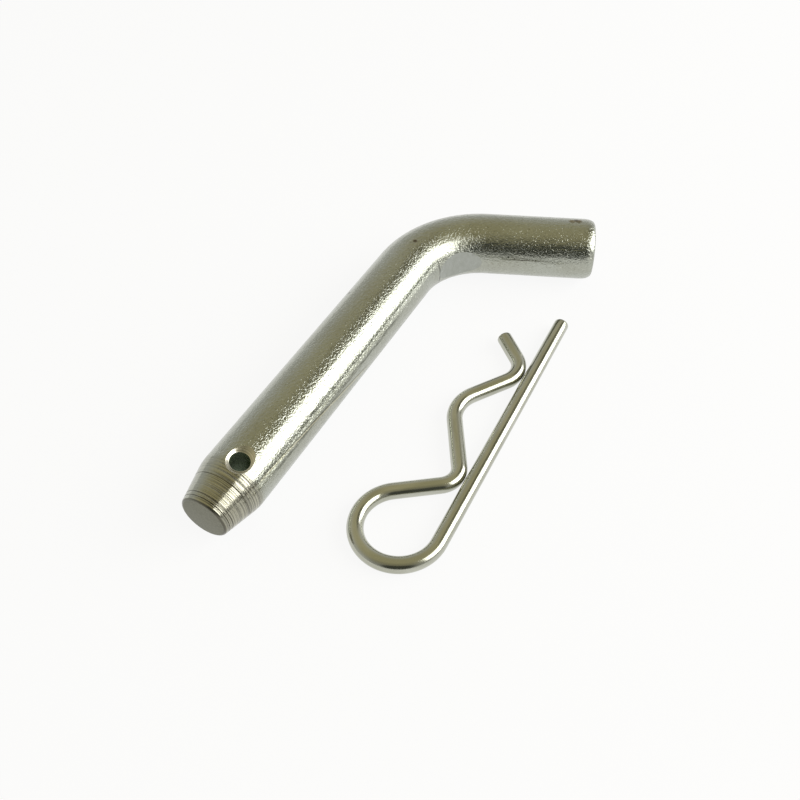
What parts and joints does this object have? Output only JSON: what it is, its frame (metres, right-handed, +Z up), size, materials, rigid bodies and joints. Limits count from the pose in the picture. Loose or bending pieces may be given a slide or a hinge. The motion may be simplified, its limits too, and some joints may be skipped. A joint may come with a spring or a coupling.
{
  "type": "bent hitch pin with r clip",
  "caption": "Bent round bar hitch pin with a turned nose and a countersunk cross hole, lying beside the spring wire R clip that locks it.",
  "frame": {"origin": "centre of the cross hole, on the axis of the shank", "axes": "+X along the shank from the nose to the bend, +Z up and square to the plane of the bend, the arm bends towards -Y"},
  "size_m": [0.1274, 0.055, 0.016],
  "materials": {
    "pin_zinc": "bright zinc plate with a faint straw tint, fine grain on drawn bar, turning rings on the nose",
    "clip_zinc": "smooth bright zinc plate on drawn spring wire, with fine lengthwise streaks"
  },
  "bodies": {
    "root": {"hitch_pin": "pin_zinc", "r_clip": "clip_zinc"}
  },
  "joints": []
}
